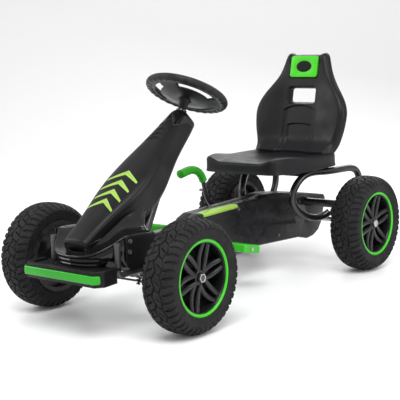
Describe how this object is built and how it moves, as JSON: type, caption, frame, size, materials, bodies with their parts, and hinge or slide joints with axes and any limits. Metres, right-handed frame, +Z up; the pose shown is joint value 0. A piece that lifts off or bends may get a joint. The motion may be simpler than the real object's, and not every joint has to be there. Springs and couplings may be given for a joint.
{
  "type": "pedal go kart",
  "caption": "Child's pedal go kart: chunky wheels, tall front fairing, steered front axle, chain drive in a case, hand brake and moulded bucket seat.",
  "frame": {"origin": "on the ground below the middle of the kart's box", "axes": "+X to the kart's left, -Y the way it drives, +Z up"},
  "size_m": [0.609, 1.2031, 0.6632],
  "materials": {
    "black_plastic": "satin moulded",
    "gloss_black": "gloss",
    "green_plastic": "gloss",
    "tyre_rubber": "matte",
    "rim_black": "satin",
    "frame_paint": "powder coat, black",
    "silver_paint": "silver paint",
    "steel": "zinc plated",
    "chain_steel": "oiled",
    "bush_plastic": "natural nylon",
    "green_grip": "soft",
    "cable_black": "matte"
  },
  "bodies": {
    "chassis": {"main_frame": "frame_paint", "kingpins": "steel", "column_bushes": "bush_plastic", "fairing": "black_plastic", "column_surround": "gloss_black", "lower_cowl": "black_plastic", "side_guards": "black_plastic", "bumper_posts": "silver_paint", "bumper_body": "black_plastic", "bumper_strip": "green_plastic", "chain_case_left": "black_plastic", "chain_case_right": "black_plastic", "bottom_bracket_bushes": "bush_plastic", "chain": "chain_steel", "bearing_plates": "frame_paint", "axle_bearings": "bush_plastic", "seat_tube_left": "frame_paint", "seat_tube_right": "frame_paint", "seat_rails": "frame_paint", "brake_bracket": "frame_paint", "brake_band": "chain_steel", "brake_cable": "cable_black", "panel_screws": "steel", "frame_bolts": "steel"},
    "steering": {"steering_column": "frame_paint", "pitman_arm": "frame_paint", "steering_wheel": "black_plastic", "wheel_pad": "gloss_black"},
    "knuckle_l": {"knuckle_left": "frame_paint", "axle_nut_front_left": "steel"},
    "knuckle_r": {"knuckle_right": "frame_paint", "axle_nut_front_right": "steel"},
    "tie_l": {"tie_rod_left": "frame_paint"},
    "tie_r": {"tie_rod_right": "frame_paint"},
    "wheel_fl": {"tyre_front_left": "tyre_rubber", "rim_front_left": "rim_black", "ring_front_left": "green_plastic"},
    "wheel_fr": {"tyre_front_right": "tyre_rubber", "rim_front_right": "rim_black", "ring_front_right": "green_plastic"},
    "rear_set": {"rear_axle": "steel", "rear_sprocket": "chain_steel", "brake_drum": "steel", "rear_axle_nuts": "steel", "tyre_rear_left": "tyre_rubber", "rim_rear_left": "rim_black", "ring_rear_left": "green_plastic", "tyre_rear_right": "tyre_rubber", "rim_rear_right": "rim_black", "ring_rear_right": "green_plastic"},
    "crank_set": {"crank": "steel", "chainwheel": "chain_steel"},
    "pedal_l": {"pedal_left": "green_plastic"},
    "pedal_r": {"pedal_right": "green_plastic"},
    "brake_arm": {"brake_lever": "frame_paint", "brake_grip": "green_grip"},
    "seat": {"seat_slides": "frame_paint", "seat_shell": "black_plastic", "headrest_insert": "green_plastic", "headrest_button": "gloss_black"}
  },
  "joints": [
    {"name": "steer", "type": "hinge", "parent": "chassis", "child": "steering", "pos_m": [0, -0.079, 0.572], "axis": [0, 0.4848, 0.8746], "range_deg": [-30, 30]},
    {"name": "knuckle_left_turn", "type": "hinge", "parent": "chassis", "child": "knuckle_l", "pos_m": [0.18, -0.3925, 0.145], "axis": [0, 0, 1], "range_deg": [-27, 27]},
    {"name": "knuckle_right_turn", "type": "hinge", "parent": "chassis", "child": "knuckle_r", "pos_m": [-0.18, -0.3925, 0.145], "axis": [0, 0, 1], "range_deg": [-27, 27]},
    {"name": "tie_left_swing", "type": "hinge", "parent": "knuckle_l", "child": "tie_l", "pos_m": [0.18, -0.3475, 0.1], "axis": [0, 0, 1], "range_deg": [-27, 27]},
    {"name": "tie_right_swing", "type": "hinge", "parent": "knuckle_r", "child": "tie_r", "pos_m": [-0.18, -0.3475, 0.1], "axis": [0, 0, 1], "range_deg": [-27, 27]},
    {"name": "wheel_front_left_spin", "type": "hinge", "parent": "knuckle_l", "child": "wheel_fl", "pos_m": [0.2555, -0.3925, 0.145], "axis": [1, 0, 0], "continuous": true},
    {"name": "wheel_front_right_spin", "type": "hinge", "parent": "knuckle_r", "child": "wheel_fr", "pos_m": [-0.2555, -0.3925, 0.145], "axis": [1, 0, 0], "continuous": true},
    {"name": "rear_axle_spin", "type": "hinge", "parent": "chassis", "child": "rear_set", "pos_m": [0, 0.4565, 0.145], "axis": [1, 0, 0], "continuous": true},
    {"name": "crank_spin", "type": "hinge", "parent": "chassis", "child": "crank_set", "pos_m": [0, -0.042, 0.156], "axis": [1, 0, 0], "continuous": true},
    {"name": "pedal_left_spin", "type": "hinge", "parent": "crank_set", "child": "pedal_l", "pos_m": [0.09, 0.0256, 0.1259], "axis": [1, 0, 0], "continuous": true},
    {"name": "pedal_right_spin", "type": "hinge", "parent": "crank_set", "child": "pedal_r", "pos_m": [-0.09, -0.1096, 0.1861], "axis": [1, 0, 0], "continuous": true},
    {"name": "brake_pull", "type": "hinge", "parent": "chassis", "child": "brake_arm", "pos_m": [-0.076, 0.15, 0.205], "axis": [-1, 0, 0], "range_deg": [0, 15]},
    {"name": "seat_slide", "type": "slide", "parent": "chassis", "child": "seat", "axis": [0, 1, 0], "range_m": [-0.015, 0.045]}
  ],
  "couplings": [
    {"joint": "knuckle_left_turn", "follows": "steer", "ratio": 0.88},
    {"joint": "knuckle_right_turn", "follows": "steer", "ratio": 0.88},
    {"joint": "tie_left_swing", "follows": "steer", "ratio": -0.88},
    {"joint": "tie_right_swing", "follows": "steer", "ratio": -0.88},
    {"joint": "crank_spin", "follows": "rear_axle_spin", "ratio": 0.5}
  ]
}
